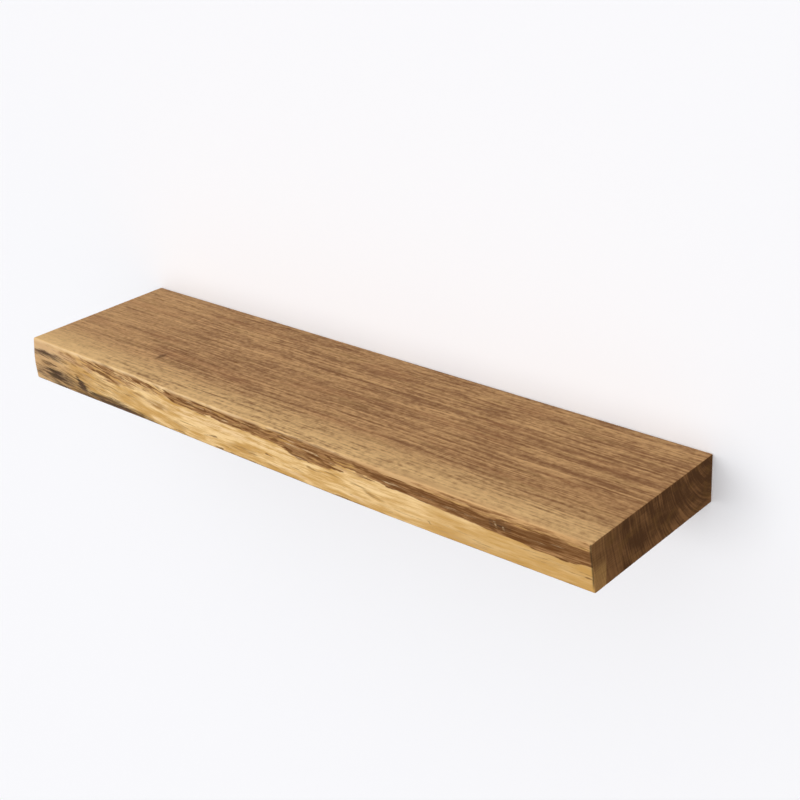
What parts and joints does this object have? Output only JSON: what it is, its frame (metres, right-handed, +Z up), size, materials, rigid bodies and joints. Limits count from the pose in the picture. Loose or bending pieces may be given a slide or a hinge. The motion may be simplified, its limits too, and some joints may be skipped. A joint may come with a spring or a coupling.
{
  "type": "floating wall shelf",
  "caption": "Thick wooden wall shelf with a natural live front edge; it slides onto concealed steel rods on wall plates that are screwed into wall plugs.",
  "frame": {"origin": "on the wall plane, midway between the rods along the board, at the height of the rods' axes, which is the middle of the board's thickness", "axes": "+X along the board to the right as seen from the room, +Y into the wall, +Z up; the live edge faces -Y"},
  "size_m": [0.6, 0.1954, 0.038],
  "materials": {
    "oiled_oak": "oiled, satin, live front edge",
    "zinc_plated_steel": "zinc plated, satin",
    "bright_steel": "drawn bar, turned tip",
    "yellow_zinc_screw": "steel, yellow passivated zinc",
    "grey_nylon": "moulded nylon"
  },
  "bodies": {
    "wall_supports": {"left_wall_plate": "zinc_plated_steel", "left_support_rod": "bright_steel", "left_outer_screw": "yellow_zinc_screw", "left_outer_plug": "grey_nylon", "left_inner_screw": "yellow_zinc_screw", "left_inner_plug": "grey_nylon", "right_wall_plate": "zinc_plated_steel", "right_support_rod": "bright_steel", "right_inner_screw": "yellow_zinc_screw", "right_inner_plug": "grey_nylon", "right_outer_screw": "yellow_zinc_screw", "right_outer_plug": "grey_nylon"},
    "shelf": {"shelf_board": "oiled_oak"}
  },
  "joints": [
    {"name": "board_slide", "type": "slide", "parent": "wall_supports", "child": "shelf", "axis": [0, -1, 0], "range_m": [0, 0.114]}
  ]
}
